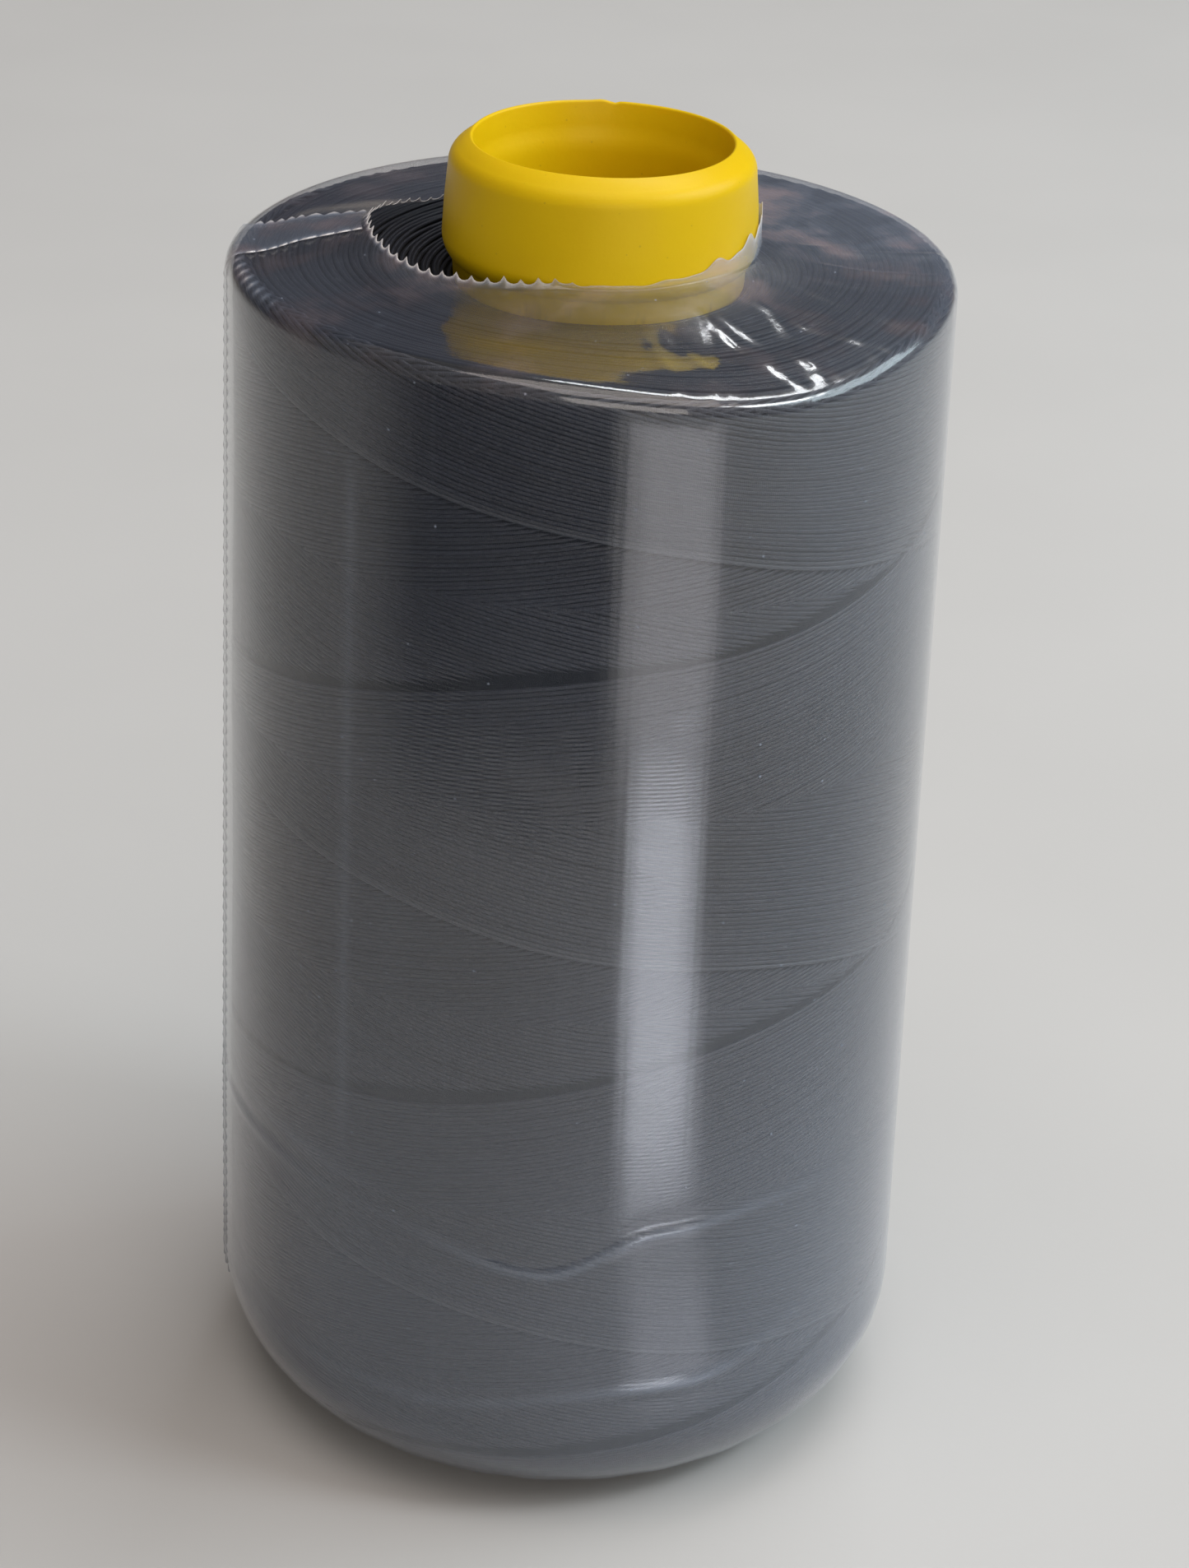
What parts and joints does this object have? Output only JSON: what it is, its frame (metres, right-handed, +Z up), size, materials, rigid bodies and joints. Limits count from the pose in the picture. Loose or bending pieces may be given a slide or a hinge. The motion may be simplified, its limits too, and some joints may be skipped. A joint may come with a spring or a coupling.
{
  "type": "spool of sewing thread",
  "caption": "Cross-wound spool of slate grey sewing thread on a yellow plastic tube, sealed in clear shrink film with a lap seam.",
  "frame": {"origin": "on the tube's axis, in the plane of its foot, on which the spool stands", "axes": "+Z up along the tube's axis towards the nose, -X towards the lap seam, -Y towards the front"},
  "size_m": [0.062, 0.062, 0.117],
  "materials": {
    "yellow_plastic": "satin injection-moulded polypropylene",
    "slate_thread": "two-ply spun polyester sewing thread, soft sheen",
    "clear_film": "clear glossy shrink film, slightly hazy, with draw lines and creases"
  },
  "bodies": {
    "root": {"core_tube": "yellow_plastic", "thread_package": "slate_thread", "film_sleeve": "clear_film", "film_lap_seam": "clear_film"}
  },
  "joints": []
}
